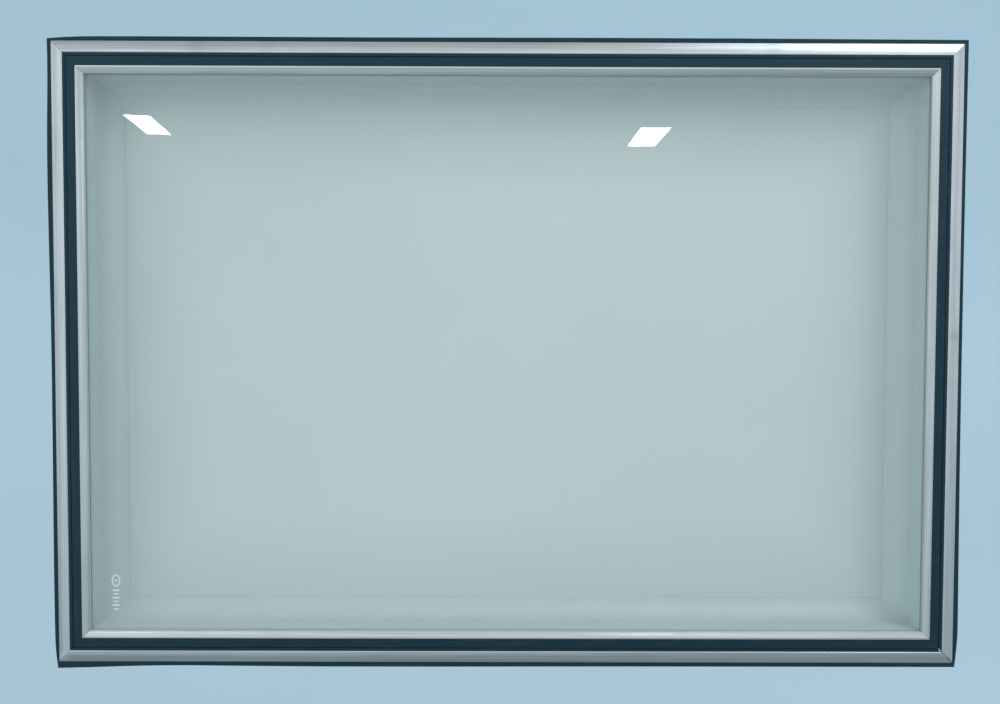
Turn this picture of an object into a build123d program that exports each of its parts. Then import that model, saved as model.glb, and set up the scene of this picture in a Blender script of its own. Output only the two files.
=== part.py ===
from build123d import *
import math
import os

# A fixed glazed screen panel that is set into a cut-out in a wall or counter front.
# A front frame and a rear frame grip the wall between them. Each frame holds its own pane,
# and a hollow spacer box joins the two ledges that the panes are bedded on.
#
# Row frame, in millimetres: +X to the right and +Z up as seen from the front, +Y into the
# wall. The origin is the centre of the cut-out, on the wall's front face.
#
# Each side of the frame is drawn once, in its own local frame: x runs along the side,
# y is the distance inward from the aluminium frame's outer edge, and z is the distance
# out of the wall, so it is negative inside the cut-out.

# ---------------------------------------------------------------- driving dimensions
FRAME_WIDTH = 1189.0
FRAME_HEIGHT = 816.0
WALL_THICKNESS = 63.0

FLANGE_WIDTH = 16.0  # the outer silver face
BAND_WIDTH = 16.7  # the black infill between flange and bead
BEAD_WIDTH = 9.3  # the inner silver face
EXTRUSION_WALL = 1.8
FLANGE_CREST = 7.2  # how far the flange stands out of the wall
BEAD_CREST = 7.8
BEAD_SEAT = 5.0  # top of the upstand that the bead clips over

GLASS_THICKNESS = 6.0
GLASS_FACE = 2.0  # how far the pane's outer face stands out of the wall
GLASS_EDGE_GAP = 2.2  # room for packers round the pane
TAPE_THICKNESS = 2.2

SEAL_THICKNESS = 1.5
SEAL_REACH = 6.5  # how far a wall seal shows past the flange
SEAL_TUCK = 7.0  # how far it goes in under the flange

HOLE_RADIUS = 2.25  # clearance for a 4 mm screw into the wall
LONG_SIDE_HOLES = (0.0, 262.0, 524.0)  # distance of the holes from the side's middle
SHORT_SIDE_HOLES = (110.0, 330.0)
LONG_SIDE_SCREWS = (150.0, 450.0)  # screws between ledge and spacer bar
SHORT_SIDE_SCREWS = (0.0, 250.0)

HAIRLINE_GAP = 0.2
TIGHT_GAP = 0.04  # a mitre that is pushed or bonded together
OPEN_GAP = 1.2  # one mitre of the front frame has opened
OPEN_CORNER = "bottom_right"

# How far the front wall seal shows, as (share of the side's length, reach), starting at
# the corner where the side's local x is lowest. The rubber was cut and laid by hand.
FRONT_SEAL_REACH = {
    "bottom": ((0, 10.2), (0.025, 9.5), (0.05, 8.5), (0.1, 6.7), (0.22, 7.0), (0.5, 7.1), (1, 6.6)),
    "right": ((0, 4.2), (0.02, 5.9), (0.045, 7.5), (0.08, 7.8), (0.25, 6.6), (0.75, 5.7), (1, 6.4)),
    "top": ((0, 6.0), (0.24, 6.9), (0.4, 7.0), (0.6, 6.5), (0.94, 6.7), (0.975, 6.0), (1, 3.9)),
    "left": ((0, 6.3), (0.04, 6.0), (0.13, 7.4), (0.42, 6.3), (0.93, 6.6), (0.97, 5.7), (1, 3.0)),
}

# ---------------------------------------------------------------- derived stations
BAND_START = FLANGE_WIDTH
BEAD_START = BAND_START + BAND_WIDTH
SIGHT_LINE = BEAD_START + BEAD_WIDTH  # where the visible glass begins
WEB_INNER = BEAD_START + 2.0
GLASS_EDGE = WEB_INNER + GLASS_EDGE_GAP
GLASS_BACK = GLASS_FACE - GLASS_THICKNESS
LEDGE_FRONT = GLASS_BACK - TAPE_THICKNESS
LEDGE_BACK = LEDGE_FRONT - EXTRUSION_WALL
SPACER_WALL = 1.2
FIT_GAP = 0.1  # between pieces that slide together
LEDGE_END = SIGHT_LINE - SPACER_WALL - FIT_GAP  # the spacer's lip covers the ledge's edge
HOLE_LINE = BAND_START + BAND_WIDTH / 2

CORNERS = {
    "bottom": ("bottom_left", "bottom_right"),
    "right": ("bottom_right", "top_right"),
    "top": ("top_right", "top_left"),
    "left": ("top_left", "bottom_left"),
}
INWARD = {
    "bottom": Vector(0, 0, 1),
    "right": Vector(-1, 0, 0),
    "top": Vector(0, 0, -1),
    "left": Vector(1, 0, 0),
}
SIDES = tuple(INWARD)
NEXT_SIDE = dict(zip(SIDES, SIDES[1:] + SIDES[:1]))
PREVIOUS_SIDE = {after: before for before, after in NEXT_SIDE.items()}
FACES = {"front": (0.0, -1.0), "rear": (WALL_THICKNESS, 1.0)}  # wall face's y, and outward


# ---------------------------------------------------------------- placing and cutting
def is_long(side):
    return side in ("top", "bottom")


def side_length(side):
    return FRAME_WIDTH if is_long(side) else FRAME_HEIGHT


def place(piece, face, side):
    """Move a piece from a side's local frame to its place on the front or rear face."""
    wall_y, outward_y = FACES[face]
    inward = INWARD[side]
    outward = Vector(0, outward_y, 0)
    half_span = (FRAME_HEIGHT if is_long(side) else FRAME_WIDTH) / 2
    origin = Vector(0, wall_y, 0) - inward * half_span
    return Plane(origin=origin, x_dir=inward.cross(outward), z_dir=outward).location * piece


def profile(*outline):
    """A closed cross-section from points, or from edges joined end to end."""
    if isinstance(outline[0], tuple):
        return Plane.YZ * make_face(Polyline(*outline, close=True))
    return Plane.YZ * make_face(outline)


def rectangle_profile(inner_y, outer_y, low_z, high_z):
    return profile((inner_y, low_z), (outer_y, low_z), (outer_y, high_z), (inner_y, high_z))


def block(x_range, y_range, z_range):
    """A box between two values on each local axis."""
    size = [high - low for low, high in (x_range, y_range, z_range)]
    middle = [(high + low) / 2 for low, high in (x_range, y_range, z_range)]
    return Pos(*middle) * Box(*size)


MITRE_REACH = (-20.0, 90.0)  # the local y range that the end cuts cover


def mitred(section, side, gaps=(HAIRLINE_GAP, HAIRLINE_GAP)):
    """Extrude a cross-section along a side and cut both ends at 45 degrees."""
    outer_y, inner_y = MITRE_REACH
    half = side_length(side) / 2
    start_cut, end_cut = (gap / math.sqrt(2) for gap in gaps)
    wedge = make_face(
        Polyline(
            (-(half - outer_y) + start_cut, outer_y),
            (half - outer_y - end_cut, outer_y),
            (half - inner_y - end_cut, inner_y),
            (-(half - inner_y) + start_cut, inner_y),
            close=True,
        )
    )
    depth = 2 * WALL_THICKNESS
    return extrude(section, amount=half, both=True) & extrude(wedge, amount=depth, both=True)


def corner_angle(side, near, far, leg, z_range):
    """An L-shaped piece that turns the corner at the low end of a side."""
    corner = -side_length(side) / 2
    outline = make_face(
        Polyline(
            (corner + near, near),
            (corner + leg, near),
            (corner + leg, far),
            (corner + far, far),
            (corner + far, leg),
            (corner + near, leg),
            close=True,
        )
    )
    return Pos(0, 0, z_range[0]) * extrude(outline, amount=z_range[1] - z_range[0])


def both_ways(distances):
    """The places at these distances on both sides of the middle."""
    return sorted({sign * distance for distance in distances for sign in (-1, 1)})


def write(name, solids):
    """Write one node, whose solids stay separate."""
    shape = solids[0] if len(solids) == 1 else Compound(children=list(solids))
    export_step(shape, f"parts/{name}.step")


# ---------------------------------------------------------------- frame rails
RAIL_NOSE = 3.6
RAIL_ARC_MIDDLE = (7.0, 6.45)
RAIL_CREST_Y = 14.4
RAIL_SHOULDER = (15.6, 6.95)
RAIL_EDGE_Z = 6.3
RIB_START, RIB_END = 7.2, 8.0
RIB_TOP = 5.1
CLEAT_LIP = 1.0
CLEAT_LIP_TOP = 0.9
CHANNEL_WALL = FLANGE_WIDTH - EXTRUSION_WALL
CHANNEL_TOP = 5.6
NOSE_WALL = 1.6
NOSE_INSIDE_Z = 3.2
CLIP_BARB = 0.6  # the upstand's barb that the bead's leg snaps behind

SCREW_LINE = SIGHT_LINE - 4.0
SCREW_RADIUS = 1.5
SCREW_HEAD_RADIUS = 2.6
SCREW_HEAD_DEPTH = 1.4
SCREW_LENGTH = 10.0


def rail_section():
    """The extrusion: a crowned flange, a screw channel, a bead upstand and a glazing ledge."""
    crest = (RAIL_CREST_Y, FLANGE_CREST)
    edge = (FLANGE_WIDTH, RAIL_EDGE_Z)
    face = ThreePointArc((0, RAIL_NOSE), RAIL_ARC_MIDDLE, crest)
    shoulder = ThreePointArc(crest, RAIL_SHOULDER, edge)
    rest = Polyline(
        edge,
        (FLANGE_WIDTH, EXTRUSION_WALL),
        (BEAD_START, EXTRUSION_WALL),
        (BEAD_START, BEAD_SEAT),
        (WEB_INNER + CLIP_BARB, BEAD_SEAT),
        (WEB_INNER + CLIP_BARB, BEAD_SEAT - CLIP_BARB),
        (WEB_INNER, BEAD_SEAT - 2 * CLIP_BARB),
        (WEB_INNER, LEDGE_FRONT),
        (LEDGE_END, LEDGE_FRONT),
        (LEDGE_END, LEDGE_BACK),
        (BEAD_START, LEDGE_BACK),
        (BEAD_START, 0),
        (CHANNEL_WALL - CLEAT_LIP, 0),
        (CHANNEL_WALL - CLEAT_LIP, CLEAT_LIP_TOP),
        (CHANNEL_WALL, CLEAT_LIP_TOP),
        (CHANNEL_WALL, CHANNEL_TOP),
        (RIB_END, RIB_TOP),
        (RIB_END, CLEAT_LIP_TOP),
        (RIB_END + CLEAT_LIP, CLEAT_LIP_TOP),
        (RIB_END + CLEAT_LIP, 0),
        (RIB_START, 0),
        (RIB_START, RIB_TOP),
        (NOSE_WALL, NOSE_INSIDE_Z),
        (NOSE_WALL, SEAL_THICKNESS),
        (0, SEAL_THICKNESS),
        (0, RAIL_NOSE),
    )
    return profile(face, shoulder, rest)


def frame_rail(face, side):
    gaps = [
        OPEN_GAP if face == "front" and corner == OPEN_CORNER else HAIRLINE_GAP
        for corner in CORNERS[side]
    ]
    rail = mitred(rail_section(), side, gaps)
    holes = LONG_SIDE_HOLES if is_long(side) else SHORT_SIDE_HOLES
    for x in both_ways(holes):
        rail -= Pos(x, HOLE_LINE, EXTRUSION_WALL / 2) * Cylinder(HOLE_RADIUS, 2 * EXTRUSION_WALL)
    screws = LONG_SIDE_SCREWS if is_long(side) else SHORT_SIDE_SCREWS
    for x in both_ways(screws):
        rail -= spacer_screw_body(x)
    return rail


# ---------------------------------------------------------------- wall seals
SEAL_ROOT_Y = (2.2, 6.6)
SEAL_ROOT_TOP = 2.9


def seal_stations(face, side):
    """Points along a seal's outer edge, from corner to corner in the side's local frame."""
    if face == "front":
        reach = FRONT_SEAL_REACH[side]
        start_corner = FRONT_SEAL_REACH[PREVIOUS_SIDE[side]][-1][1]
        end_corner = FRONT_SEAL_REACH[NEXT_SIDE[side]][0][1]
    else:
        reach = ((0.0, SEAL_REACH), (1.0, SEAL_REACH))
        start_corner = end_corner = SEAL_REACH
    half = side_length(side) / 2
    low, high = -half - start_corner, half + end_corner
    return [(low + (high - low) * share, -width) for share, width in reach]


def wall_seal(face, side):
    """A flat rubber strip under the flange, with a root that sits in the flange's groove."""
    half = side_length(side) / 2
    tuck = half - SEAL_TUCK
    stations = seal_stations(face, side)
    edge = Spline(*stations) if face == "front" else Line(*stations)
    under = [(half, 0), (tuck, SEAL_TUCK), (-tuck, SEAL_TUCK), (-half, 0)]
    back = Polyline(stations[-1], *under, stations[0])
    strip = extrude(make_face([edge, back]), amount=SEAL_THICKNESS)
    root = mitred(rectangle_profile(*SEAL_ROOT_Y, SEAL_THICKNESS, SEAL_ROOT_TOP), side)
    return strip + root


# ---------------------------------------------------------------- infill strips
INFILL_CAP_BACK = 4.4  # leaves room over the channel's floor for screw heads
INFILL_FACE = 6.2
INFILL_LIP = 4.0
INFILL_LIP_FACE = 6.7
INFILL_LEG = 1.6
INFILL_CHAMFER = 0.5
SPLIT_WIDTH = 3.0  # the strips have pulled apart at the open corner
SPLIT_DEPTH = 4.6


def infill_section():
    """A black rubber cap that hides the screw channel, with a raised lip by the flange."""
    lip_end = BAND_START + INFILL_LIP
    return profile(
        (BAND_START, EXTRUSION_WALL),
        (BAND_START + INFILL_LEG, EXTRUSION_WALL),
        (BAND_START + INFILL_LEG, INFILL_CAP_BACK),
        (BEAD_START - INFILL_LEG, INFILL_CAP_BACK),
        (BEAD_START - INFILL_LEG, EXTRUSION_WALL),
        (BEAD_START, EXTRUSION_WALL),
        (BEAD_START, INFILL_FACE - INFILL_CHAMFER),
        (BEAD_START - INFILL_CHAMFER, INFILL_FACE),
        (lip_end + INFILL_CHAMFER, INFILL_FACE),
        (lip_end, INFILL_FACE - INFILL_CHAMFER),
        (lip_end - INFILL_CHAMFER, INFILL_LIP_FACE),
        (BAND_START + INFILL_CHAMFER, INFILL_LIP_FACE),
        (BAND_START, INFILL_LIP_FACE - INFILL_CHAMFER),
    )


def infill_strip(face, side):
    strip = mitred(infill_section(), side, (TIGHT_GAP, TIGHT_GAP))
    if face == "front":
        for corner, end in zip(CORNERS[side], (-1, 1)):
            if corner == OPEN_CORNER:
                strip -= split_notch(side, end)
    return strip


def split_notch(side, end):
    """The wedge missing from a strip's outer corner, at one end of a side."""
    corner = side_length(side) / 2 - BAND_START
    outline = make_face(
        Polyline(
            (end * (corner - SPLIT_DEPTH), BAND_START + SPLIT_DEPTH),
            (end * (corner - SPLIT_WIDTH), BAND_START),
            (end * (corner + 1), BAND_START - 1),
            close=True,
        )
    )
    return extrude(outline, amount=2 * FLANGE_CREST)


# ---------------------------------------------------------------- glazing beads
BEAD_WALL = 1.3
BEAD_TOE = 4.0  # the bead's foot stands this far out, on the wedge gasket
BEAD_TOE_START = GLASS_EDGE + 1.2
BEAD_LEG = (WEB_INNER + 0.8, WEB_INNER + 2.1)
BEAD_LEG_END = 2.2
BEAD_BARB_Z = (3.4, 4.0)
BEAD_OUTER_ROUND = 0.45
BEAD_FLAT = 2.0  # a narrow flat at the crest, before the face slopes in to the glass
BEAD_INNER_ROUND = 0.5
BEAD_INNER_Z = 5.1  # where the sloped face ends, above the sight line
BEAD_SLOPE = (BEAD_CREST - BEAD_INNER_Z) / (BEAD_WIDTH - BEAD_FLAT)
GASKET_PROUD = 0.35  # how far the gasket shows past the bead


def under_bead(y):
    """Height of the inside of the bead's sloped face at a distance inward."""
    return BEAD_CREST - BEAD_WALL - BEAD_SLOPE * (y - BEAD_START)


def bead_section():
    """A clip-on bead: a cap that slopes in to the glass, a barbed leg and a foot."""
    side_top = (BEAD_START, BEAD_CREST - BEAD_OUTER_ROUND)
    shoulder = (BEAD_START + BEAD_OUTER_ROUND, BEAD_CREST)
    crest_end = (BEAD_START + BEAD_FLAT, BEAD_CREST)
    slope_end = (SIGHT_LINE - BEAD_INNER_ROUND, BEAD_INNER_Z)
    sight_edge = (SIGHT_LINE, BEAD_INNER_Z - BEAD_INNER_ROUND)
    outer = RadiusArc(side_top, shoulder, BEAD_OUTER_ROUND)
    crest = Line(shoulder, crest_end)
    slope = RadiusArc(crest_end, slope_end, 4 * BEAD_WIDTH)
    inner = RadiusArc(slope_end, sight_edge, BEAD_INNER_ROUND)
    inside = Polyline(
        sight_edge,
        (SIGHT_LINE, BEAD_TOE),
        (BEAD_TOE_START, BEAD_TOE),
        (BEAD_TOE_START, under_bead(BEAD_TOE_START)),
        (BEAD_LEG[1], under_bead(BEAD_LEG[1])),
        (BEAD_LEG[1], BEAD_LEG_END),
        (BEAD_LEG[0], BEAD_LEG_END),
        (BEAD_LEG[0] - CLIP_BARB, BEAD_BARB_Z[0]),
        (BEAD_LEG[0] - CLIP_BARB, BEAD_BARB_Z[1]),
        (BEAD_LEG[0], BEAD_BARB_Z[1]),
        (BEAD_LEG[0], BEAD_SEAT + HAIRLINE_GAP),
        (BEAD_START, BEAD_SEAT + HAIRLINE_GAP),
        side_top,
    )
    return profile(outer, crest, slope, inner, inside)


def wedge_gasket_section():
    """The soft strip between a bead's foot and the pane."""
    return profile(
        (BEAD_TOE_START, GLASS_FACE),
        (SIGHT_LINE + GASKET_PROUD, GLASS_FACE),
        (SIGHT_LINE + GASKET_PROUD, GLASS_FACE + GASKET_PROUD),
        (SIGHT_LINE, BEAD_TOE),
        (BEAD_TOE_START, BEAD_TOE),
    )


# ---------------------------------------------------------------- panes and bedding
GLASS_ARRIS = 0.5
TAPE_END = LEDGE_END - 2 * FIT_GAP
PACKER_LONG, PACKER_SHORT = 80.0, 50.0
PACKER_Z = (GLASS_BACK, 1.6)


def pane_size(edge):
    return FRAME_WIDTH - 2 * edge, FRAME_HEIGHT - 2 * edge


def centre_on_face(piece, face):
    """Turn a flat piece drawn about the middle, with its face outward, onto one face."""
    wall_y, outward_y = FACES[face]
    outward = (0, outward_y, 0)
    plane = Plane(origin=(0, wall_y, 0), x_dir=(-outward_y, 0, 0), z_dir=outward)
    return plane.location * piece


def pane():
    width, height = pane_size(GLASS_EDGE)
    sheet = Pos(0, 0, (GLASS_FACE + GLASS_BACK) / 2) * Box(width, height, GLASS_THICKNESS)
    rims = sheet.faces().sort_by(Axis.Z)[0].edges() + sheet.faces().sort_by(Axis.Z)[-1].edges()
    return chamfer(rims, GLASS_ARRIS)


def glazing_tape():
    """One ring of foam tape between a pane and its ledge."""
    ring = Rectangle(*pane_size(GLASS_EDGE)) - Rectangle(*pane_size(TAPE_END))
    return Pos(0, 0, LEDGE_FRONT) * extrude(ring, amount=TAPE_THICKNESS)


def packers(face):
    """Blocks that carry and centre a pane: long ones under it, short ones elsewhere."""
    blocks = []
    for side in SIDES:
        length = PACKER_LONG if side == "bottom" else PACKER_SHORT
        quarter = side_length(side) / 4
        for x in (-quarter, quarter):
            x_range = (x - length / 2, x + length / 2)
            piece = block(x_range, (WEB_INNER, GLASS_EDGE), PACKER_Z)
            blocks.append(place(piece, face, side))
    return blocks


# ---------------------------------------------------------------- corner cleats
CLEAT_LEG = 45.0
CLEAT_Y = (RIB_END + FIT_GAP, CHANNEL_WALL - FIT_GAP)
CLEAT_Z = (1.0, 4.6)
GRUB_RADIUS = 1.85
GRUB_Z = (1.2, 5.0)
GRUB_FROM_CORNER = 34.0
SOCKET_RADIUS = 1.1
SOCKET_DEPTH = 2.0


def grub_places(side):
    """Centres of the two grub screws in the cleat at a side's low end."""
    corner = -side_length(side) / 2
    middle = sum(CLEAT_Y) / 2
    return [(corner + GRUB_FROM_CORNER, middle), (corner + middle, GRUB_FROM_CORNER)]


def corner_cleat(side):
    """An aluminium angle that ties two rails, bored for its grub screws."""
    cleat = corner_angle(side, *CLEAT_Y, CLEAT_LEG, CLEAT_Z)
    for x, y in grub_places(side):
        cleat -= Pos(x, y, 0) * Cylinder(GRUB_RADIUS, 4 * CLEAT_Z[1])
    return cleat


def grub_screws(side):
    """Screws that jack a cleat back against the lips of its groove."""
    low, high = GRUB_Z
    screws = []
    for x, y in grub_places(side):
        screw = Pos(x, y, (low + high) / 2) * Cylinder(GRUB_RADIUS, high - low)
        socket = extrude(RegularPolygon(SOCKET_RADIUS, 6), amount=SOCKET_DEPTH)
        screws.append(screw - Pos(x, y, low) * socket)
    return screws


# ---------------------------------------------------------------- spacer box
SPACER_Y = (WEB_INNER + 0.4, SIGHT_LINE)
SPACER_Z = (-(WALL_THICKNESS + LEDGE_BACK), LEDGE_BACK)
LIP_Z = (-(WALL_THICKNESS + GLASS_BACK) + 2 * FIT_GAP, GLASS_BACK - 2 * FIT_GAP)
COVE_RADIUS = 24.0
COVE_EDGE = 0.4  # thickness of the cove's thin edge, on the rear pane
COVE_MIDDLE_Z = LIP_Z[0] + COVE_EDGE + COVE_RADIUS
DIVIDER_SET = 12.2  # from the spacer's end to the far side of a divider
CHAMBER_Y = (SPACER_Y[0] + SPACER_WALL, SPACER_Y[1] - SPACER_WALL)
CHAMBER_Z = (SPACER_Z[0] + DIVIDER_SET, SPACER_Z[1] - DIVIDER_SET)
KEY_LEG = 90.0
SLOT_LENGTH, SLOT_WIDTH, SLOT_PITCH = 6.0, 0.8, 40.0
SLOT_OVERCUT = 0.1  # so that a cut passes clean through a face
KEY_GAP = 1.0
SCREW_RECESS = (2.6, 0.6, 1.6)


def arc_height(y, radius):
    """Height of an arc about the cove's centre, at a distance inward."""
    across = SIGHT_LINE + COVE_RADIUS - y
    return COVE_MIDDLE_Z - math.sqrt(radius**2 - across**2)


def arc_distance(z, radius):
    """Distance inward of an arc about the cove's centre, at a height."""
    down = COVE_MIDDLE_Z - z
    return SIGHT_LINE + COVE_RADIUS - math.sqrt(radius**2 - down**2)


def cove_section():
    """A hollow quarter-round that sweeps from a spacer bar's side to the rear pane."""
    tip = (SIGHT_LINE + COVE_RADIUS, LIP_Z[0] + COVE_EDGE)
    top = (SIGHT_LINE, COVE_MIDDLE_Z)
    root_y = SIGHT_LINE - SPACER_WALL / 2
    sweep = RadiusArc(tip, top, COVE_RADIUS)
    back = Polyline(top, (root_y, top[1]), (root_y, LIP_Z[0]), (tip[0], LIP_Z[0]), tip)
    web = COVE_RADIUS + SPACER_WALL
    floor = LIP_Z[0] + SPACER_WALL
    inner_tip = (arc_distance(floor, web), floor)
    inner_top = (SIGHT_LINE, arc_height(SIGHT_LINE, web))
    hollow_sweep = RadiusArc(inner_tip, inner_top, web)
    hollow_back = Polyline(inner_top, (SIGHT_LINE, floor), inner_tip)
    return profile(sweep, back) - profile(hollow_sweep, hollow_back)


def spacer_section():
    """A box extrusion with lips that reach both panes, and three chambers inside."""
    section = rectangle_profile(*SPACER_Y, *SPACER_Z)
    section += rectangle_profile(SPACER_Y[1] - SPACER_WALL, SPACER_Y[1], *LIP_Z)
    section += cove_section()
    section -= rectangle_profile(*CHAMBER_Y, *CHAMBER_Z)
    outer_depth = DIVIDER_SET - 2 * SPACER_WALL
    for end in (SPACER_Z[0] + SPACER_WALL, SPACER_Z[1] - SPACER_WALL - outer_depth):
        section -= rectangle_profile(*CHAMBER_Y, end, end + outer_depth)
    return section


def spacer_bar(side):
    bar = mitred(spacer_section(), side, (TIGHT_GAP, TIGHT_GAP))
    half = side_length(side) / 2
    slot_count = int((half - SIGHT_LINE - KEY_LEG) // SLOT_PITCH)
    middle_z = sum(CHAMBER_Z) / 2
    for i in range(-slot_count, slot_count + 1):
        bar -= block(
            (i * SLOT_PITCH - SLOT_LENGTH / 2, i * SLOT_PITCH + SLOT_LENGTH / 2),
            (CHAMBER_Y[1] - SLOT_OVERCUT, SPACER_Y[1] + SLOT_OVERCUT),
            (middle_z - SLOT_WIDTH / 2, middle_z + SLOT_WIDTH / 2),
        )
    end_walls = 2 * SPACER_WALL
    for x in both_ways(LONG_SIDE_SCREWS if is_long(side) else SHORT_SIDE_SCREWS):
        for z in SPACER_Z:
            bar -= Pos(x, SCREW_LINE, z) * Cylinder(SCREW_RADIUS, end_walls)
    return bar


def spacer_key(side):
    """A nylon angle that joins two spacer bars inside their middle chamber."""
    return corner_angle(side, *CHAMBER_Y, KEY_LEG, CHAMBER_Z)


def desiccant_core(side):
    """The drying agent, as one bar that fills the chamber between two keys."""
    reach = side_length(side) / 2 - KEY_LEG - KEY_GAP
    return block((-reach, reach), CHAMBER_Y, CHAMBER_Z)


def spacer_screw_body(x):
    """A countersunk screw, flush in the ledge, that enters the spacer bar behind it."""
    head = Pos(x, SCREW_LINE, LEDGE_FRONT - SCREW_HEAD_DEPTH / 2) * Cone(
        SCREW_RADIUS, SCREW_HEAD_RADIUS, SCREW_HEAD_DEPTH
    )
    shank_top = LEDGE_FRONT - SCREW_HEAD_DEPTH
    shank = Pos(x, SCREW_LINE, shank_top - SCREW_LENGTH / 2) * Cylinder(SCREW_RADIUS, SCREW_LENGTH)
    return head + shank


def spacer_screws(face):
    """All the screws that fasten one face's ledges to the spacer bars."""
    screws = []
    for side in SIDES:
        for x in both_ways(LONG_SIDE_SCREWS if is_long(side) else SHORT_SIDE_SCREWS):
            screw = spacer_screw_body(x)
            for angle in (0, 90):
                screw -= Pos(x, SCREW_LINE, LEDGE_FRONT) * Rot(0, 0, angle) * Box(*SCREW_RECESS)
            screws.append(place(screw, face, side))
    return screws


# ---------------------------------------------------------------- writing the parts
os.makedirs("parts", exist_ok=True)

for face in FACES:
    for side in SIDES:
        write(f"{face}_frame_rail_{side}", [place(frame_rail(face, side), face, side)])
        write(f"{face}_wall_seal_{side}", [place(wall_seal(face, side), face, side)])
        write(f"{face}_infill_strip_{side}", [place(infill_strip(face, side), face, side)])
        bead = mitred(bead_section(), side)
        write(f"{face}_glazing_bead_{side}", [place(bead, face, side)])
        gasket = mitred(wedge_gasket_section(), side)
        write(f"{face}_wedge_gasket_{side}", [place(gasket, face, side)])
    write(f"{face}_glazing_tape", [centre_on_face(glazing_tape(), face)])
    write(f"{face}_glazing_packers", packers(face))
    write(f"{face}_corner_cleats", [place(corner_cleat(side), face, side) for side in SIDES])
    grubs = [place(screw, face, side) for side in SIDES for screw in grub_screws(side)]
    write(f"{face}_cleat_grub_screws", grubs)
    write(f"{face}_spacer_screws", spacer_screws(face))

write("front_glass_pane", [centre_on_face(pane(), "front")])
write("rear_opal_pane", [centre_on_face(pane(), "rear")])

for side in SIDES:
    write(f"spacer_bar_{side}", [place(spacer_bar(side), "front", side)])
write("spacer_corner_keys", [place(spacer_key(side), "front", side) for side in SIDES])
write("spacer_desiccant", [place(desiccant_core(side), "front", side) for side in SIDES])
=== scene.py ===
import math

import bmesh
import bpy
from mathutils import Matrix, Vector


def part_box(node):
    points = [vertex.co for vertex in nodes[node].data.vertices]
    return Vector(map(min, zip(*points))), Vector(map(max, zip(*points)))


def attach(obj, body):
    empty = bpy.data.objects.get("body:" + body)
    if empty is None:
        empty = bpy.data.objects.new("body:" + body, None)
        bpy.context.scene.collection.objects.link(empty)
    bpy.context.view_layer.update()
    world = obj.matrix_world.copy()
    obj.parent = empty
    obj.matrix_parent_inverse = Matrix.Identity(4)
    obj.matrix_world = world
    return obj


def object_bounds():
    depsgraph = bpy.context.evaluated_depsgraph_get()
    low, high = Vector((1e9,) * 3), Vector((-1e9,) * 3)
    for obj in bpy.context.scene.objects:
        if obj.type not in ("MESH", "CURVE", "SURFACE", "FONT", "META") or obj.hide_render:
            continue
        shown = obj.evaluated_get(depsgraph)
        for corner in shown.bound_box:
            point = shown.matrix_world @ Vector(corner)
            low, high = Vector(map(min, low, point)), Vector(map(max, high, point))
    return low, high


# A framed glass screen panel in a plain studio. Lengths are in metres, in the frame's axes:
# +X right and +Z up as seen from the front, +Y into the wall that the panel is set in.

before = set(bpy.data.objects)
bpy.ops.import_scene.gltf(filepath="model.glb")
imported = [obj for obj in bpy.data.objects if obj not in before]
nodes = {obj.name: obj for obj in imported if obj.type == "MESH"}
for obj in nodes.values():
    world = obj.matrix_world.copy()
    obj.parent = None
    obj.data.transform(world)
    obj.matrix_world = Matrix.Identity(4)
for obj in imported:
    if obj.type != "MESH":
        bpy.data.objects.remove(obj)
cad_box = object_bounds()
scene = bpy.context.scene
scene.view_settings.view_transform = "Standard"

# ---------------------------------------------------------------- camera
CAMERA_PLACE = Vector((-0.0118, -0.9916, 0.0341))
CAMERA_YAW = math.radians(-0.123)
CAMERA_PITCH = math.radians(-1.682)
CAMERA_ROLL = math.radians(-0.17)
CAMERA_LENS = 27.04
CAMERA_SENSOR = 36.0


def add_camera():
    """A camera in front of the panel that looks along +Y, turned by the small angles above."""
    data = bpy.data.cameras.new("photo_camera")
    data.lens = CAMERA_LENS
    data.sensor_width = CAMERA_SENSOR
    camera = bpy.data.objects.new("photo_camera", data)
    turn = Matrix.Rotation(CAMERA_YAW, 3, "Z") @ Matrix.Rotation(CAMERA_PITCH, 3, "X")
    upright = Matrix.Rotation(CAMERA_ROLL, 3, "Y") @ Matrix.Rotation(math.pi / 2, 3, "X")
    camera.rotation_euler = (turn @ upright).to_euler()
    camera.location = CAMERA_PLACE
    scene.collection.objects.link(camera)
    scene.camera = camera


# ---------------------------------------------------------------- shader helpers
WHITE = (1.0, 1.0, 1.0)
NOISE_RANGE = (0.3, 0.7)  # where most of a noise's values lie
# Places of the sockets of a Mix node that is set to colours.
MIX_FACTOR, MIX_FIRST, MIX_SECOND, MIX_RESULT = 0, 6, 7, 2


def feed(tree, socket, value):
    """Give an input a fixed value, or link it to another node's output."""
    if isinstance(value, bpy.types.NodeSocket):
        tree.links.new(value, socket)
    else:
        socket.default_value = value


def add_node(tree, kind, settings=None, **inputs):
    """A shader node, with its settings and inputs. An input may be a value or a socket."""
    node = tree.nodes.new("ShaderNode" + kind)
    for name, value in (settings or {}).items():
        setattr(node, name, value)
    for name, value in inputs.items():
        feed(tree, node.inputs[name.replace("_", " ")], value)
    return node


def new_paint(name, **inputs):
    """A material with one Principled shader, and the tree and shader to build on."""
    material = bpy.data.materials.new(name)
    material.use_nodes = True
    tree = material.node_tree
    shader = tree.nodes["Principled BSDF"]
    for key, value in inputs.items():
        shader.inputs[key.replace("_", " ")].default_value = value
    return material, tree, shader


def finish_paint(tree, shader, colour=None, roughness=None, normal=None):
    """Link the patterns that a material has to its shader."""
    for name, value in (("Base Color", colour), ("Roughness", roughness), ("Normal", normal)):
        if value is not None:
            tree.links.new(value, shader.inputs[name])


def math_node(tree, operation, first, second):
    """The result of a sum, product or the like of two values or sockets."""
    made = add_node(tree, "Math", {"operation": operation})
    for socket, value in zip(made.inputs, (first, second)):
        feed(tree, socket, value)
    return made.outputs[0]


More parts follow.
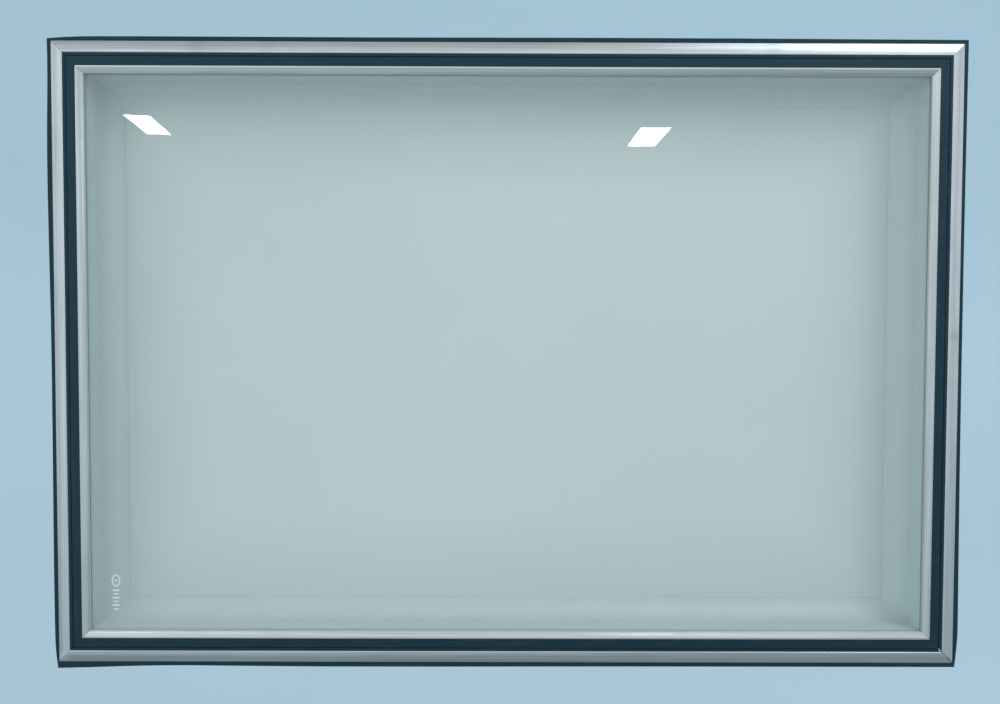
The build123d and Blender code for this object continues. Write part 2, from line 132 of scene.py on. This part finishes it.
def multiply(tree, first, second):
    """The product of two values or sockets."""
    return math_node(tree, "MULTIPLY", first, second)


def total(tree, first, second):
    """The sum of two values or sockets."""
    return math_node(tree, "ADD", first, second)


def vector_node(tree, operation, first, second):
    """A node that combines a vector socket with a second vector or vector socket."""
    made = add_node(tree, "VectorMath", {"operation": operation})
    for socket, value in zip(made.inputs, (first, second)):
        feed(tree, socket, value)
    return made


def remap(tree, fac, low, high, out_low, out_high):
    """Carry the range low to high over to another range, and hold it at that range's ends."""
    made = add_node(tree, "MapRange", Value=fac)
    ends = {"From Min": low, "From Max": high, "To Min": out_low, "To Max": out_high}
    for name, value in ends.items():
        made.inputs[name].default_value = value
    return made.outputs["Result"]


def vary(tree, pattern, low, high):
    """Values from low to high that follow a noise."""
    return remap(tree, pattern, *NOISE_RANGE, low, high)


def mix_colour(tree, fac, first, second):
    """A blend of two colours: the first where fac is 0, and the second where it is 1."""
    made = add_node(tree, "Mix", {"data_type": "RGBA"})
    for place, value in ((MIX_FACTOR, fac), (MIX_FIRST, first), (MIX_SECOND, second)):
        feed(tree, made.inputs[place], value)
    return made.outputs[MIX_RESULT]


def shade(colour, gain):
    """A colour made lighter or darker, with an alpha of 1."""
    return tuple(channel * gain for channel in colour[:3]) + (1.0,)


def position(tree):
    """The point's place in the frame's axes."""
    return add_node(tree, "TexCoord").outputs["Object"]


def noise(tree, scale, detail=3.0, roughness=0.5):
    """Noise through the object. Scale is in features per metre, alike or for each axis."""
    spread = (scale,) * 3 if isinstance(scale, (int, float)) else scale
    mapped = add_node(tree, "Mapping", Vector=position(tree), Scale=spread).outputs["Vector"]
    made = add_node(tree, "TexNoise", Vector=mapped, Scale=1.0, Detail=detail, Roughness=roughness)
    return made.outputs["Fac"]


def along_scale(along, lengthwise, across):
    """Feature densities that draw a pattern out along one axis."""
    return tuple(lengthwise if axis == along else across for axis in "XYZ")


def specks(tree, density, size, shift):
    """Sparse round marks: 1 inside a speck and 0 elsewhere. One cell in five has a speck."""
    moved = add_node(tree, "Mapping", Vector=position(tree), Location=(shift, shift, shift))
    cells = add_node(tree, "TexVoronoi", Vector=moved.outputs["Vector"], Scale=density)
    dot = remap(tree, cells.outputs["Distance"], size, size / 2, 0.0, 1.0)
    chance = add_node(tree, "SeparateColor", Color=cells.outputs["Color"]).outputs["Red"]
    kept = remap(tree, chance, 0.8, 0.82, 0.0, 1.0)
    return multiply(tree, dot, kept)


def bump(tree, height, distance, strength=1.0, under=None):
    """A bumped normal from a height pattern, laid over another normal if there is one."""
    made = add_node(tree, "Bump", Height=height, Distance=distance, Strength=strength)
    if under is not None:
        tree.links.new(under, made.inputs["Normal"])
    return made.outputs["Normal"]


# ---------------------------------------------------------------- colours
RAIL_COLOUR = (0.585, 0.625, 0.65)
BEAD_COLOUR = (0.545, 0.578, 0.588)
WARM_CAST = (1.03, 1.01, 0.97)  # patches where the anodising is a little warmer
SEAL_COLOUR = (0.006, 0.022, 0.034)
INFILL_COLOUR = (0.003, 0.018, 0.031)
GASKET_COLOUR = (0.52, 0.60, 0.605)
RUBBER_SHEEN = (0.55, 0.93, 1.1, 1.0)
DUST_COLOUR = (0.30, 0.33, 0.34)
GLASS_TINT = (0.955, 0.99, 0.98)
FROST_DARK = (0.72, 0.8, 0.8)
FROST_LIGHT = (0.95, 0.98, 0.98)
OPAL_COLOUR = (0.638, 0.716, 0.703)
OPAL_PAINTED_EDGE_SHADE = 0.86  # painted shade: the pane's colour darkens towards its edges
OPAL_PAINTED_SHADE_REACH = 0.15  # over this distance
SPACER_COLOUR = (0.565, 0.658, 0.662)
SPACER_PAINTED_SHADE_DEPTHS = (0.046, 0.062)  # depths in the wall between which the coat turns into the opal pane's painted edge shade
LEFT_SPACER_PAINTED_SHADE = 0.83  # painted shade: the left spacer bar is painted darker than the others
FOAM_COLOUR = (0.34, 0.40, 0.40)
PACKER_COLOUR = (0.10, 0.10, 0.11)
NYLON_COLOUR = (0.45, 0.45, 0.43)
DESICCANT_COLOUR = (0.75, 0.70, 0.60)
MILL_COLOUR = (0.60, 0.61, 0.62)
GRUB_SCREW_COLOUR = (0.60, 0.60, 0.58)
SCREW_COLOUR = (0.62, 0.61, 0.57)
FLOOR_COLOURS = ((0.585, 0.775, 0.895), (0.605, 0.795, 0.915))

# ---------------------------------------------------------------- materials
# Marks left on the front rails by handling: place (x, z), radius and brightness against the metal.
SCUFFS = (
    ((0.586, 0.027), 0.005, 0.62),
    ((-0.588, -0.401), 0.006, 1.45),
    ((-0.403, 0.402), 0.012, 0.72),
    ((-0.312, 0.398), 0.008, 0.80),
    ((0.345, 0.402), 0.012, 0.70),
    ((0.512, 0.400), 0.009, 0.76),
)
SCUFF_CORE = 0.006  # a mark is whole out to here, and fades over its radius beyond


def add_scuffs(tree, base, colour):
    """Lay the handling marks over a metal's colour, each with a ragged edge."""
    place = position(tree)
    ragged = noise(tree, 420.0, detail=4.0, roughness=0.7)
    for (x, z), radius, gain in SCUFFS:
        offset = vector_node(tree, "DISTANCE", place, (x, 0.0, z)).outputs["Value"]
        near = remap(tree, offset, radius + SCUFF_CORE, SCUFF_CORE, 0.0, 1.0)
        base = mix_colour(tree, multiply(tree, near, ragged), base, shade(colour, gain))
    return base


def drawn_metal(name, colour, along, roughness):
    """Satin aluminium with lengthwise drawing lines, handling smudges and small nicks."""
    material, tree, shader = new_paint(name, Metallic=1.0)
    fine = noise(tree, along_scale(along, 14.0, 2600.0), detail=2.0)
    broad = noise(tree, along_scale(along, 3.5, 520.0), detail=2.0)
    patches = noise(tree, along_scale(along, 6.0, 90.0), detail=3.0)
    smudge = noise(tree, along_scale(along, 9.0, 38.0), detail=4.0, roughness=0.6)
    nicks = specks(tree, density=55.0, size=0.035, shift=1.7)
    streaks = remap(tree, broad, 0.36, 0.64, 0.0, 1.0)
    lined = mix_colour(tree, streaks, shade(colour, 0.86), shade(colour, 1.09))
    warm = tuple(channel * cast for channel, cast in zip(colour, WARM_CAST)) + (1.0,)
    warmth = remap(tree, patches, 0.52, 0.72, 0.0, 0.7)
    toned = mix_colour(tree, warmth, lined, warm)
    dullness = remap(tree, smudge, 0.5, 0.8, 0.0, 0.5)
    dulled = mix_colour(tree, dullness, toned, shade(colour, 0.74))
    nicked = mix_colour(tree, nicks, dulled, shade(colour, 0.5))
    marked = add_scuffs(tree, nicked, colour)
    grain_rough = vary(tree, fine, roughness - 0.05, roughness + 0.07)
    rough = total(tree, grain_rough, remap(tree, smudge, 0.45, 0.8, 0.0, 0.12))
    lines = bump(tree, fine, 0.00001, 0.4)
    dents = bump(tree, multiply(tree, nicks, -1.0), 0.0001, 0.6, under=lines)
    finish_paint(tree, shader, marked, rough, dents)
    return material


def plain_metal(name, colour, roughness):
    """A metal that is out of sight: mill finish or plating, lightly mottled."""
    material, tree, shader = new_paint(name, Metallic=1.0)
    mottle = noise(tree, 260.0, detail=4.0)
    colours = mix_colour(tree, mottle, shade(colour, 0.85), shade(colour, 1.08))
    rough = vary(tree, mottle, roughness - 0.06, roughness + 0.08)
    finish_paint(tree, shader, colours, rough, bump(tree, mottle, 0.00003, 0.4))
    return material


def rubber(name, colour, along, roughness, dust):
    """Extruded rubber: lengthwise flow lines, a fine grain and some dust."""
    material, tree, shader = new_paint(name, Specular_IOR_Level=0.45, Specular_Tint=RUBBER_SHEEN)
    flow = noise(tree, along_scale(along, 3.0, 700.0), detail=3.0)
    grain = noise(tree, 2400.0, detail=2.0)
    settled = noise(tree, along_scale(along, 16.0, 130.0), detail=5.0, roughness=0.65)
    flowed = mix_colour(tree, flow, shade(colour, 0.7), shade(colour, 1.35))
    dusty = remap(tree, settled, 0.52, 0.8, 0.0, dust)
    dusted = mix_colour(tree, dusty, flowed, shade(DUST_COLOUR, 1.0))
    flow_rough = vary(tree, flow, roughness - 0.06, roughness + 0.06)
    rough = total(tree, flow_rough, remap(tree, settled, 0.5, 0.8, 0.0, 0.2))
    normal = bump(tree, grain, 0.00003, 0.5, under=bump(tree, flow, 0.00008, 0.7))
    finish_paint(tree, shader, dusted, rough, normal)
    return material


def moulded(name, colour, roughness, grain_density):
    """A moulded or foamed surface with an even grain and slight mottling."""
    material, tree, shader = new_paint(name)
    grain = noise(tree, grain_density, detail=3.0)
    mottle = noise(tree, 22.0, detail=4.0)
    colours = mix_colour(tree, mottle, shade(colour, 0.93), shade(colour, 1.06))
    rough = vary(tree, grain, roughness - 0.07, roughness + 0.07)
    finish_paint(tree, shader, colours, rough, bump(tree, grain, 0.00004, 0.5))
    return material


def clear_glass():
    """Polished float glass, faintly green, with wiping smears that only show in highlights."""
    material, tree, shader = new_paint(
        "clear_glass_polished",
        Base_Color=shade(GLASS_TINT, 1.0),
        IOR=1.52,
        Transmission_Weight=1.0,
    )
    smear = noise(tree, (7.0, 7.0, 26.0), detail=5.0, roughness=0.6)
    rough = remap(tree, smear, 0.45, 0.8, 0.004, 0.05)
    waviness = bump(tree, noise(tree, 5.0, detail=1.0), 0.00004, 0.3)
    finish_paint(tree, shader, roughness=rough, normal=waviness)
    return material


def near_edge(tree):
    """How near a point is to the edges of the opal pane, for its painted edge shade: 0 well inside, and 1
    at an edge.
    """
    axes = add_node(tree, "SeparateXYZ", Vector=position(tree)).outputs
    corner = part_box("rear_opal_pane")[1]
    nearness = []
    for axis, reach in (("X", corner.x), ("Z", corner.z)):
        distance = math_node(tree, "ABSOLUTE", axes[axis], 0.0)
        nearness.append(remap(tree, distance, reach - OPAL_PAINTED_SHADE_REACH, reach, 0.0, 1.0))
    return math_node(tree, "MAXIMUM", *nearness)


def opal_glass():
    """Pale grey-green opal glass with a satin face, very slight clouding, and painted shade that darkens
    it towards its edges.
    """
    material, tree, shader = new_paint("opal_glass_satin", IOR=1.5)
    cloud = noise(tree, 2.6, detail=3.0)
    haze = noise(tree, (9.0, 9.0, 34.0), detail=4.0)
    grain = noise(tree, 1500.0, detail=2.0)
    clouding = vary(tree, cloud, 0.0, 1.0)
    clouded = mix_colour(tree, clouding, shade(OPAL_COLOUR, 0.975), shade(OPAL_COLOUR, 1.02))
    # Painted shade: the colour darkens towards the pane's edges.
    painted_edge_shaded = mix_colour(tree, near_edge(tree), clouded, shade(OPAL_COLOUR, OPAL_PAINTED_EDGE_SHADE))
    rough = remap(tree, haze, 0.3, 0.75, 0.32, 0.48)
    finish_paint(tree, shader, painted_edge_shaded, rough, bump(tree, grain, 0.00001, 0.3))
    return material


def coated_spacer(name, painted_shade_gain):
    """A coated spacer bar whose coat turns, in the cove, into the painted edge shade of the opal pane.
    Its second argument darkens the whole coat as painted shade, 1 for none.
    """
    material, tree, shader = new_paint(name)
    depth = add_node(tree, "SeparateXYZ", Vector=position(tree)).outputs["Y"]
    grain = noise(tree, 900.0, detail=3.0)
    mottle = noise(tree, 22.0, detail=4.0)
    blend = remap(tree, depth, *SPACER_PAINTED_SHADE_DEPTHS, 0.0, 1.0)
    # Painted shade: in the cove the coat takes the opal pane's painted edge shade, so no crease shows.
    cove_painted_shade = shade(OPAL_COLOUR, OPAL_PAINTED_EDGE_SHADE)
    graded = mix_colour(tree, blend, shade(SPACER_COLOUR, painted_shade_gain), cove_painted_shade)
    mottled = mix_colour(tree, mottle, shade(WHITE, 0.96), shade(WHITE, 1.03))
    coat = vector_node(tree, "MULTIPLY", graded, mottled).outputs[0]
    rough = vary(tree, grain, 0.43, 0.57)
    finish_paint(tree, shader, coat, rough, bump(tree, grain, 0.00003, 0.4))
    return material


def etched_glass():
    """A frosted white etching."""
    material, tree, shader = new_paint("etched_frost")
    frost = noise(tree, 3200.0, detail=3.0)
    colours = mix_colour(tree, frost, shade(FROST_DARK, 1.0), shade(FROST_LIGHT, 1.0))
    rough = vary(tree, frost, 0.5, 0.8)
    finish_paint(tree, shader, colours, rough, bump(tree, frost, 0.00002, 0.6))
    return material


def floor_paint():
    """Matt pale blue, very slightly mottled."""
    material, tree, shader = new_paint("stage_paint", Specular_IOR_Level=0.1)
    mottle = noise(tree, 1.2, detail=2.0)
    colours = mix_colour(tree, mottle, *(shade(colour, 1.0) for colour in FLOOR_COLOURS))
    finish_paint(tree, shader, colours, vary(tree, mottle, 0.85, 0.95))
    return material


def side_materials(along):
    """The materials whose pattern runs along a side, for the sides along one axis."""
    return {
        "frame_rail": drawn_metal(f"satin_aluminium_{along}", RAIL_COLOUR, along, roughness=0.34),
        "glazing_bead": drawn_metal(f"bead_aluminium_{along}", BEAD_COLOUR, along, roughness=0.28),
        "wall_seal": rubber(f"seal_rubber_{along}", SEAL_COLOUR, along, roughness=0.62, dust=0.10),
        "infill_strip": rubber(f"infill_rubber_{along}", INFILL_COLOUR, along, roughness=0.42, dust=0.07),
        "wedge_gasket": rubber(f"gasket_rubber_{along}", GASKET_COLOUR, along, roughness=0.6, dust=0.08),
    }


def other_materials():
    """The materials without a direction. Where two names fit a node, the first one is used."""
    return {
        "front_glass_pane": clear_glass(),
        "rear_opal_pane": opal_glass(),
        # Painted shade: the left bar is painted darker, against the window lamp's light that falls on it.
        "spacer_bar_left": coated_spacer("coated_spacer_painted_shade", LEFT_SPACER_PAINTED_SHADE),
        "spacer_bar": coated_spacer("coated_spacer", 1.0),
        "glazing_tape": moulded("foam_tape", FOAM_COLOUR, 0.85, grain_density=1800.0),
        "glazing_packers": moulded("packer_plastic", PACKER_COLOUR, 0.5, grain_density=1200.0),
        "corner_cleats": plain_metal("mill_aluminium", MILL_COLOUR, 0.4),
        "cleat_grub_screws": plain_metal("zinc_steel", GRUB_SCREW_COLOUR, 0.35),
        "spacer_screws": plain_metal("zinc_steel_screws", SCREW_COLOUR, 0.32),
        "spacer_corner_keys": moulded("nylon_keys", NYLON_COLOUR, 0.5, grain_density=1200.0),
        "spacer_desiccant": moulded("desiccant_beads", DESICCANT_COLOUR, 0.9, grain_density=700.0),
    }


def paint_frame():
    """Give every CAD node its finished material."""
    by_axis = {along: side_materials(along) for along in "XZ"}
    others = other_materials()
    for name, node in nodes.items():
        along = "X" if name.endswith(("_top", "_bottom")) else "Z"
        choices = {**by_axis[along], **others}
        material = next(choices[kind] for kind in choices if kind in name)
        for slot in node.material_slots:
            slot.material = material
    # The pane is clear: light and diffuse rays pass straight through it to the opal pane.
    pane = nodes["front_glass_pane"]
    pane.visible_shadow = False
    pane.visible_diffuse = False


# ---------------------------------------------------------------- etched mark
MARK_FROM_CENTRE = Vector((-0.519, -0.315))
MARK_THICKNESS = 0.00006
MARK_LIFT = 0.00001
RING_OUTER = (0.0058, 0.0082)
RING_LINE = 0.0016
RING_STEPS = 56
RING_BAR = 0.0016  # half the length of the bar inside the ring
TICK_COUNT = 6
TICK_PITCH = 0.0050
TICK_LINE = 0.0019
TICK_HALVES = (0.0040, 0.0024)  # half lengths, in turn
TICK_END_STEPS = 10


def add_prism(mesh, loops):
    """A flat closed solid between an outer loop and, if there is one, an inner loop."""
    front = [[mesh.verts.new((x, -MARK_THICKNESS, z)) for x, z in loop] for loop in loops]
    back = [[mesh.verts.new((x, 0.0, z)) for x, z in loop] for loop in loops]
    count = len(loops[0])
    for i in range(count):
        j = (i + 1) % count
        mesh.faces.new((front[0][i], front[0][j], back[0][j], back[0][i]))
        if len(loops) == 2:
            mesh.faces.new((front[1][j], front[1][i], back[1][i], back[1][j]))
            mesh.faces.new((front[0][j], front[0][i], front[1][i], front[1][j]))
            mesh.faces.new((back[0][i], back[0][j], back[1][j], back[1][i]))
    if len(loops) == 1:
        mesh.faces.new(tuple(reversed(front[0])))
        mesh.faces.new(tuple(back[0]))


def ellipse(radius_x, radius_z):
    """Points round an ellipse."""
    turns = [2 * math.pi * i / RING_STEPS for i in range(RING_STEPS)]
    return [(radius_x * math.cos(a), radius_z * math.sin(a)) for a in turns]


def rounded_bar(middle_z, half_length, radius):
    """The outline of a bar with round ends."""
    outline = []
    for end in (1, -1):
        for i in range(TICK_END_STEPS + 1):
            angle = math.pi * (i / TICK_END_STEPS - 0.5) + (0 if end > 0 else math.pi)
            x = end * half_length + radius * math.cos(angle)
            outline.append((x, middle_z + radius * math.sin(angle)))
    return outline


def add_etched_mark():
    """A plain oval over a column of short bars, etched in a lower corner of the front pane."""
    mesh = bmesh.new()
    inner = tuple(radius - RING_LINE for radius in RING_OUTER)
    add_prism(mesh, (ellipse(*RING_OUTER), ellipse(*inner)))
    add_prism(mesh, (rounded_bar(0.0, RING_BAR, TICK_LINE / 2),))
    for i in range(TICK_COUNT):
        middle = -RING_OUTER[1] - TICK_PITCH * (i + 1)
        add_prism(mesh, (rounded_bar(middle, TICK_HALVES[i % 2], TICK_LINE / 2),))
    bmesh.ops.recalc_face_normals(mesh, faces=mesh.faces)
    data = bpy.data.meshes.new("etched_mark")
    mesh.to_mesh(data)
    mesh.free()
    data.materials.append(etched_glass())
    mark = bpy.data.objects.new("etched_mark", data)
    glass_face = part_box("front_glass_pane")[0].y
    ring_middle_z = MARK_FROM_CENTRE.y + TICK_PITCH * TICK_COUNT / 2
    mark.location = (MARK_FROM_CENTRE.x, glass_face - MARK_LIFT, ring_middle_z)
    scene.collection.objects.link(mark)
    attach(mark, "root")


# ---------------------------------------------------------------- floor
FLOOR_DROP = 0.85  # the panel hangs at this height, as it would in a counter front
FLOOR_RADIUS = 4.0
SWEEP_RADIUS = 2.5
SWEEP_STEPS = 16
STAGE_TOP = 12.0
STAGE_STEPS = 96


def stage_outline():
    """The floor's edge, the sweep and the top of the wall, as (radius, height)."""
    level = cad_box[0].z - FLOOR_DROP
    outline = []
    for i in range(SWEEP_STEPS + 1):
        angle = math.pi / 2 * i / SWEEP_STEPS
        radius = FLOOR_RADIUS + SWEEP_RADIUS * math.sin(angle)
        outline.append((radius, level + SWEEP_RADIUS * (1 - math.cos(angle))))
    outline.append((FLOOR_RADIUS + SWEEP_RADIUS, STAGE_TOP))
    return outline


def add_stage():
    """A plain pale floor that sweeps up into a round wall, seen by the camera alone."""
    mesh = bmesh.new()
    turns = [2 * math.pi * i / STAGE_STEPS for i in range(STAGE_STEPS)]
    rings = []
    for radius, height in stage_outline():
        ring = [(radius * math.cos(a), radius * math.sin(a), height) for a in turns]
        rings.append([mesh.verts.new(point) for point in ring])
    mesh.faces.new(rings[0])
    for low, high in zip(rings, rings[1:]):
        for i in range(STAGE_STEPS):
            j = (i + 1) % STAGE_STEPS
            mesh.faces.new((low[i], high[i], high[j], low[j]))
    bmesh.ops.recalc_face_normals(mesh, faces=mesh.faces)
    bmesh.ops.reverse_faces(mesh, faces=mesh.faces)
    data = bpy.data.meshes.new("studio_floor")
    mesh.to_mesh(data)
    mesh.free()
    data.shade_smooth()
    data.materials.append(floor_paint())
    floor = bpy.data.objects.new("studio_floor", data)
    scene.collection.objects.link(floor)
    floor.visible_diffuse = False
    floor.visible_glossy = False
    floor.visible_shadow = False
    floor.visible_transmission = False


# ---------------------------------------------------------------- light
ROOM_TINT = (0.93, 1.0, 1.03)
LOW_ROOM_TINT = (0.80, 1.0, 1.09)  # light from below has come off a blue floor
TINT_CHANGE = (-0.5, 0.3)  # heights of the direction between which the one turns to the other
# Brightness of the room by height of the direction, from straight down to straight up.
HEIGHT_BRIGHTNESS = (
    (-1.0, 0.32),
    (-0.7, 0.33),
    (-0.4, 0.34),
    (0.0, 0.84),
    (0.4, 0.84),
    (0.7, 0.55),
    (1.0, 0.48),
)
# Added brightness by how near the direction is to the lit side of the room: 1 is straight at it.
LIT_SIDE = Vector((-0.34, -0.94, 0.02)).normalized()
LIT_SIDE_BRIGHTNESS = (
    (-1.0, 0.20),
    (-0.4, 0.08),
    (0.0, 0.0),
    (0.5, 0.0),
    (0.77, 0.08),
    (0.9, 0.26),
    (0.96, 0.28),
    (1.0, 0.12),
)
LAMP_TINT = (0.93, 1.0, 1.0)
LAMP_POWER = 4.0  # for each square metre of a lamp and each unit of its radiance
WINDOW_PLACE = Vector((1.80, -1.55, 2.45))  # lights the right end of the top rail
WINDOW_AIM = Vector((0.5, 0.0, 0.4))
WINDOW_SIZE = (0.9, 1.9)
WINDOW_RADIANCE = 3.0
# Two ceiling panels that glint in the glass: place, size and turn about the vertical.
CEILING_PANELS = (
    ((-2.078, -3.478, 1.234), (0.142, 0.418), math.radians(-7.9)),
    ((0.916, -3.717, 1.234), (0.180, 0.452), math.radians(-0.3)),
)
PANEL_RADIANCE = 14.0


def brightness_ramp(tree, cosine, stops):
    """A smooth brightness over the range -1 to 1, from stops of position and brightness."""
    ramp_node = add_node(tree, "ValToRGB", Fac=remap(tree, cosine, -1.0, 1.0, 0.0, 1.0))
    ramp = ramp_node.color_ramp
    ramp.interpolation = "B_SPLINE"
    while len(ramp.elements) < len(stops):
        ramp.elements.new(0.5)
    for element, (place, brightness) in zip(ramp.elements, stops):
        element.position = (place + 1) / 2
        element.color = shade(WHITE, brightness)
    return ramp_node.outputs["Color"]


def light_room():
    """A soft room: dim below, and bright towards its lit side, which faces the panel."""
    world = bpy.data.worlds.new("soft_room")
    scene.world = world
    world.use_nodes = True
    tree = world.node_tree
    direction = add_node(tree, "TexCoord").outputs["Generated"]
    height = add_node(tree, "SeparateXYZ", Vector=direction).outputs["Z"]
    facing = vector_node(tree, "DOT_PRODUCT", direction, LIT_SIDE).outputs["Value"]
    by_height = brightness_ramp(tree, height, HEIGHT_BRIGHTNESS)
    by_side = brightness_ramp(tree, facing, LIT_SIDE_BRIGHTNESS)
    raised = remap(tree, height, *TINT_CHANGE, 0.0, 1.0)
    tint = mix_colour(tree, raised, shade(LOW_ROOM_TINT, 1.0), shade(ROOM_TINT, 1.0))
    background = tree.nodes["Background"]
    tree.links.new(total(tree, by_height, by_side), background.inputs["Strength"])
    tree.links.new(tint, background.inputs["Color"])


def add_lamp(name, place, turn, size, radiance):
    """A rectangular light that the camera doesn't see. Unturned, it shines straight down."""
    data = bpy.data.lights.new(name, "AREA")
    data.shape = "RECTANGLE"
    data.size, data.size_y = size
    data.energy = LAMP_POWER * size[0] * size[1] * radiance
    data.color = LAMP_TINT
    lamp = bpy.data.objects.new(name, data)
    lamp.location = place
    lamp.rotation_euler = turn
    lamp.visible_camera = False
    scene.collection.objects.link(lamp)


def add_lamps():
    """A window to one side, and the ceiling panels."""
    turn = (WINDOW_AIM - WINDOW_PLACE).to_track_quat("-Z", "Y").to_euler()
    add_lamp("window", WINDOW_PLACE, turn, WINDOW_SIZE, WINDOW_RADIANCE)
    for i, (place, size, angle) in enumerate(CEILING_PANELS):
        add_lamp(f"ceiling_panel_{i}", place, (0.0, 0.0, angle), size, PANEL_RADIANCE)


# ---------------------------------------------------------------- building the picture
add_camera()
paint_frame()
add_etched_mark()
add_stage()
light_room()
add_lamps()
